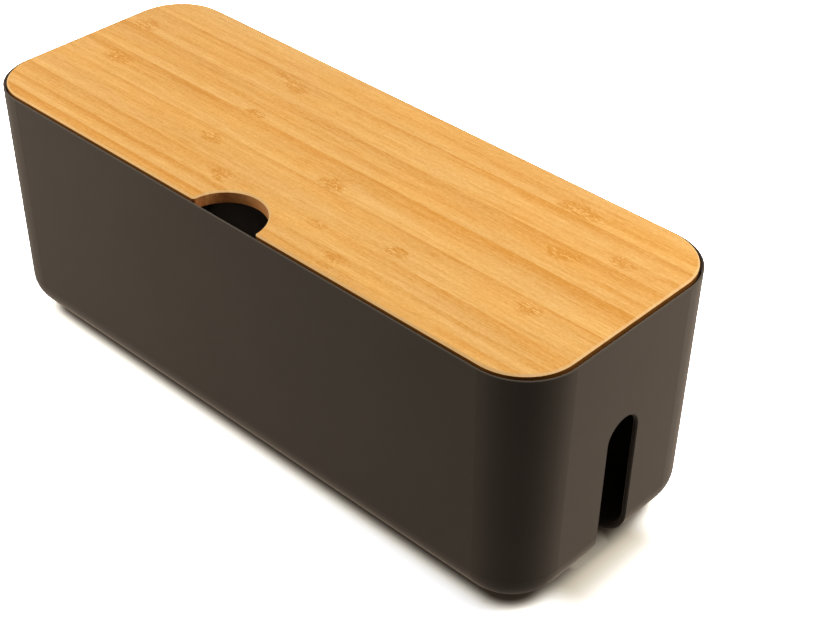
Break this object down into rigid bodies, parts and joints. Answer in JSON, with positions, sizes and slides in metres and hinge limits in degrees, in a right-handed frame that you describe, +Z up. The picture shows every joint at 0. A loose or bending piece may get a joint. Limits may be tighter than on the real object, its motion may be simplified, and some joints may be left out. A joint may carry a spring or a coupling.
{
  "type": "cable management box",
  "caption": "Oblong box with rounded corners that hides a power strip and its cables, with a cable slot in each end and a loose bamboo lid with a finger notch.",
  "frame": {"origin": "centre of the box on the surface that it stands on", "axes": "+X along the length of the box, -Y towards the long side with the lid's finger notch, +Z up"},
  "size_m": [0.295, 0.109, 0.114],
  "materials": {
    "tub_plastic": "fine matte, moulded",
    "bamboo": "satin lacquer, grain along the length",
    "foot_rubber": "matte"
  },
  "bodies": {
    "tub": {"tub": "tub_plastic", "foot_1": "foot_rubber", "foot_2": "foot_rubber", "foot_3": "foot_rubber", "foot_4": "foot_rubber"},
    "lid": {"lid_strip_1": "bamboo", "lid_strip_2": "bamboo", "lid_strip_3": "bamboo", "lid_strip_4": "bamboo", "lid_strip_5": "bamboo", "lid_strip_6": "bamboo", "lid_front_left": "bamboo", "lid_front_right": "bamboo"}
  },
  "joints": [
    {"name": "lid_lift", "type": "slide", "parent": "tub", "child": "lid", "axis": [0, 0, 1], "range_m": [0, 0.1]}
  ]
}
